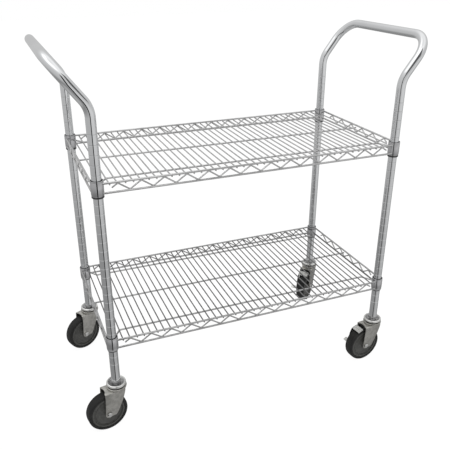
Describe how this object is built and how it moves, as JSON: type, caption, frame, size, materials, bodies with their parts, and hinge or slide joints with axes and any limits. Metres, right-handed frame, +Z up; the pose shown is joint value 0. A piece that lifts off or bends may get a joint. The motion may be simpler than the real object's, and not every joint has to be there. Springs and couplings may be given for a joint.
{
  "type": "wire shelf cart",
  "caption": "Wheeled wire shelf cart with outward-leaning push handles at both ends, swivel casters and foot brakes on the casters at one end.",
  "frame": {"origin": "on the floor, under the middle of the bounding box of the cart at rest", "axes": "+X along the cart towards the end with the braked casters, +Y across the cart towards its back long side, +Z up"},
  "size_m": [1.0642, 0.4895, 1.0608],
  "materials": {
    "bright_tube": "bright chrome plating",
    "shelf_wire": "bright plated wire",
    "collar": "bright plated, slightly soft",
    "sleeve": "black moulded plastic",
    "caster_plate": "zinc plated pressed steel",
    "fastener": "zinc plated",
    "wheel": "dark grey moulded plastic",
    "tyre": "satin black rubber"
  },
  "bodies": {
    "frame": {"left_handle_frame": "bright_tube", "right_handle_frame": "bright_tube", "lower_shelf_deck": "shelf_wire", "lower_shelf_front_truss": "shelf_wire", "lower_shelf_back_truss": "shelf_wire", "lower_shelf_left_truss": "shelf_wire", "lower_shelf_right_truss": "shelf_wire", "lower_collar_front_left": "collar", "lower_collar_back_left": "collar", "lower_collar_front_right": "collar", "lower_collar_back_right": "collar", "lower_sleeve_front_left": "sleeve", "lower_sleeve_back_left": "sleeve", "lower_sleeve_front_right": "sleeve", "lower_sleeve_back_right": "sleeve", "upper_shelf_deck": "shelf_wire", "upper_shelf_front_truss": "shelf_wire", "upper_shelf_back_truss": "shelf_wire", "upper_shelf_left_truss": "shelf_wire", "upper_shelf_right_truss": "shelf_wire", "upper_collar_front_left": "collar", "upper_collar_back_left": "collar", "upper_collar_front_right": "collar", "upper_collar_back_right": "collar", "upper_sleeve_front_left": "sleeve", "upper_sleeve_back_left": "sleeve", "upper_sleeve_front_right": "sleeve", "upper_sleeve_back_right": "sleeve", "front_left_caster_stem": "caster_plate", "back_left_caster_stem": "caster_plate", "front_right_caster_stem": "caster_plate", "back_right_caster_stem": "caster_plate"},
    "front_left_swivel": {"front_left_fork": "caster_plate", "front_left_ball_race": "fastener", "front_left_axle_bolt": "fastener", "front_left_axle_nut": "fastener"},
    "front_left_wheel": {"front_left_wheel_core": "wheel", "front_left_tyre": "tyre"},
    "back_left_swivel": {"back_left_fork": "caster_plate", "back_left_ball_race": "fastener", "back_left_axle_bolt": "fastener", "back_left_axle_nut": "fastener"},
    "back_left_wheel": {"back_left_wheel_core": "wheel", "back_left_tyre": "tyre"},
    "front_right_swivel": {"front_right_fork": "caster_plate", "front_right_ball_race": "fastener", "front_right_axle_bolt": "fastener", "front_right_axle_nut": "fastener", "front_right_brake_pin": "fastener"},
    "front_right_wheel": {"front_right_wheel_core": "wheel", "front_right_tyre": "tyre"},
    "front_right_brake": {"front_right_brake_pedal": "caster_plate"},
    "back_right_swivel": {"back_right_fork": "caster_plate", "back_right_ball_race": "fastener", "back_right_axle_bolt": "fastener", "back_right_axle_nut": "fastener", "back_right_brake_pin": "fastener"},
    "back_right_wheel": {"back_right_wheel_core": "wheel", "back_right_tyre": "tyre"},
    "back_right_brake": {"back_right_brake_pedal": "caster_plate"}
  },
  "joints": [
    {"name": "front_left_swivel", "type": "hinge", "parent": "frame", "child": "front_left_swivel", "pos_m": [-0.435, -0.2111, 0.138], "axis": [0, 0, 1], "continuous": true},
    {"name": "front_left_wheel_spin", "type": "hinge", "parent": "front_left_swivel", "child": "front_left_wheel", "pos_m": [-0.46952, -0.21688, 0.05896], "axis": [0.165, -0.9863, 0], "continuous": true},
    {"name": "back_left_swivel", "type": "hinge", "parent": "frame", "child": "back_left_swivel", "pos_m": [-0.435, 0.2169, 0.138], "axis": [0, 0, 1], "continuous": true},
    {"name": "back_left_wheel_spin", "type": "hinge", "parent": "back_left_swivel", "child": "back_left_wheel", "pos_m": [-0.46722, 0.20322, 0.05896], "axis": [0.3907, -0.9205, 0], "continuous": true},
    {"name": "front_right_swivel", "type": "hinge", "parent": "frame", "child": "front_right_swivel", "pos_m": [0.435, -0.2111, 0.138], "axis": [0, 0, 1], "continuous": true},
    {"name": "front_right_wheel_spin", "type": "hinge", "parent": "front_right_swivel", "child": "front_right_wheel", "pos_m": [0.40015, -0.21439, 0.05896], "axis": [0.0941, -0.9956, 0], "continuous": true},
    {"name": "front_right_brake_press", "type": "hinge", "parent": "front_right_swivel", "child": "front_right_brake", "pos_m": [0.39667, -0.21472, 0.1233], "axis": [0.0941, -0.9956, 0], "range_deg": [0, 5.5]},
    {"name": "back_right_swivel", "type": "hinge", "parent": "frame", "child": "back_right_swivel", "pos_m": [0.435, 0.2169, 0.138], "axis": [0, 0, 1], "continuous": true},
    {"name": "back_right_wheel_spin", "type": "hinge", "parent": "back_right_swivel", "child": "back_right_wheel", "pos_m": [0.40815, 0.19445, 0.05896], "axis": [0.6414, -0.7672, 0], "continuous": true},
    {"name": "back_right_brake_press", "type": "hinge", "parent": "back_right_swivel", "child": "back_right_brake", "pos_m": [0.40546, 0.1922, 0.1233], "axis": [0.6414, -0.7672, 0], "range_deg": [0, 5.5]}
  ]
}
